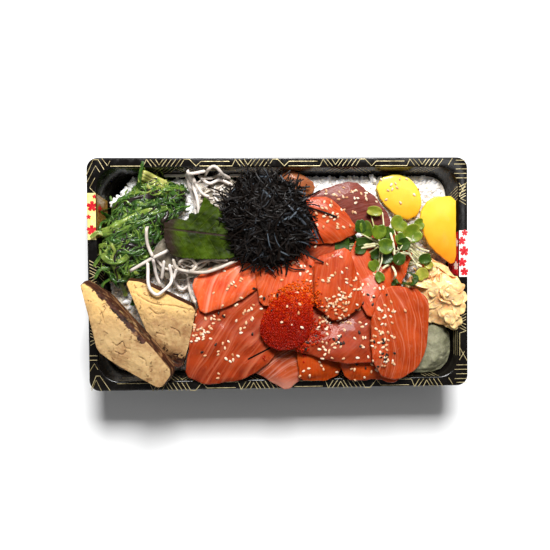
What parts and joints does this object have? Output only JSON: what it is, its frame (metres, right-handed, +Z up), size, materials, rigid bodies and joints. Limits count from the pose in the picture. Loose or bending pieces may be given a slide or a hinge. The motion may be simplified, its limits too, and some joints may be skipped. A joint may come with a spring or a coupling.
{
  "type": "salmon rice bowl",
  "caption": "Rectangular takeaway tray of rice topped with salmon slices, tuna, roe, omelette, seaweed, daikon, nori, sprouts and pickles.",
  "frame": {"origin": "middle of the tray's flat base, on the surface that it stands on", "axes": "+X along the tray's length to the pickles, +Y across it to the nori, +Z up"},
  "size_m": [0.2208, 0.134, 0.0552],
  "materials": {
    "tray_plastic": "moulded black film with a gloss",
    "rice": "moist cooked rice",
    "takuan": "wet translucent pickle",
    "wasabi": "soft paste",
    "ginger": "wet thin folds",
    "seaweed": "oiled fronds",
    "omelette": "spongy egg with browned edges",
    "tuna": "raw fish with a wet sheen",
    "salmon": "raw fish with pale fat lines",
    "daikon": "wet translucent strands",
    "shiso": "matt leaf with veins",
    "nori": "dried seaweed strips",
    "roe": "glossy small eggs",
    "sprouts": "seed leaves on pale stems"
  },
  "bodies": {
    "root": {"tray": "tray_plastic", "rice_bed": "rice", "takuan_1": "takuan", "takuan_2": "takuan", "wasabi": "wasabi", "pickled_ginger": "ginger", "seaweed_salad": "seaweed", "omelette_2": "omelette", "omelette_1": "omelette", "tuna_1": "tuna", "tuna_2": "tuna", "salmon_01": "salmon", "salmon_02": "salmon", "salmon_03": "salmon", "salmon_04": "salmon", "salmon_05": "salmon", "salmon_06": "salmon", "salmon_07": "salmon", "salmon_08": "salmon", "salmon_09": "salmon", "salmon_10": "salmon", "salmon_11": "salmon", "salmon_12": "salmon", "daikon_strands": "daikon", "shiso_leaf": "shiso", "nori_shreds": "nori", "roe_mound": "roe", "radish_sprouts": "sprouts"}
  },
  "joints": []
}
